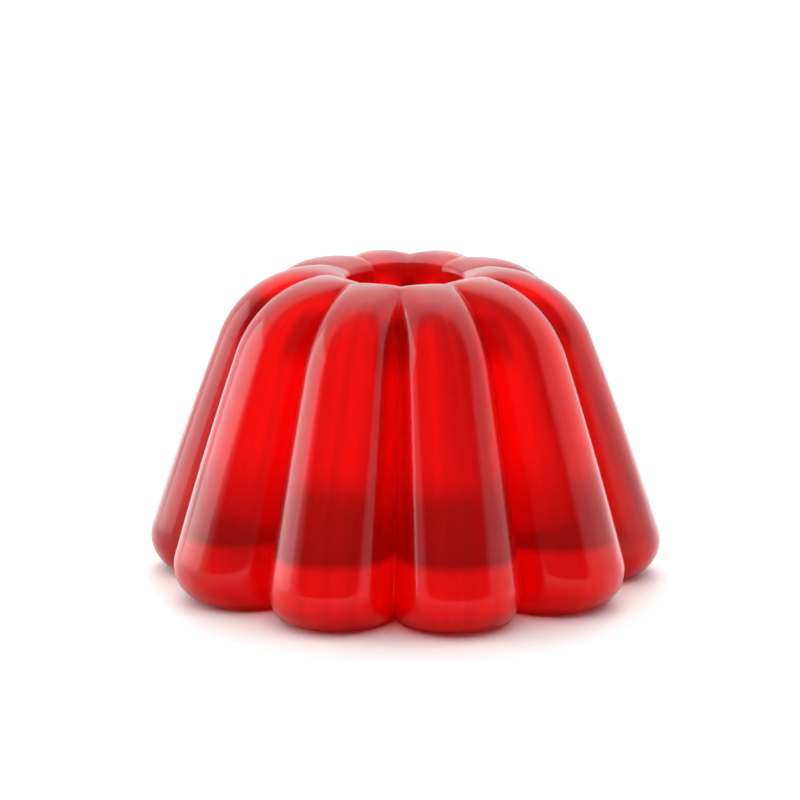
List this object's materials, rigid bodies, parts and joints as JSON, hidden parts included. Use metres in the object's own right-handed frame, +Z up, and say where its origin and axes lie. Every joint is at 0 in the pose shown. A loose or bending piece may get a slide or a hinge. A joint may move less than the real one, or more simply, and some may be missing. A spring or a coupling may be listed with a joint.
{
  "type": "jelly dessert",
  "caption": "Moulded fluted jelly dome with a round dip in its crown, standing on a flat base, to serve as a pudding or as filled shelf and table dressing.",
  "frame": {"origin": "centre of the flat base, on the surface that the jelly stands on", "axes": "+Z up along the jelly's axis of symmetry; -Y towards the front, where a crease between two lobes faces"},
  "size_m": [0.1252, 0.1206, 0.0757],
  "materials": {
    "jelly": "clear red set gelatine, smooth and wet looking, with soft moulded edges"
  },
  "bodies": {
    "root": {"jelly": "jelly"}
  },
  "joints": []
}
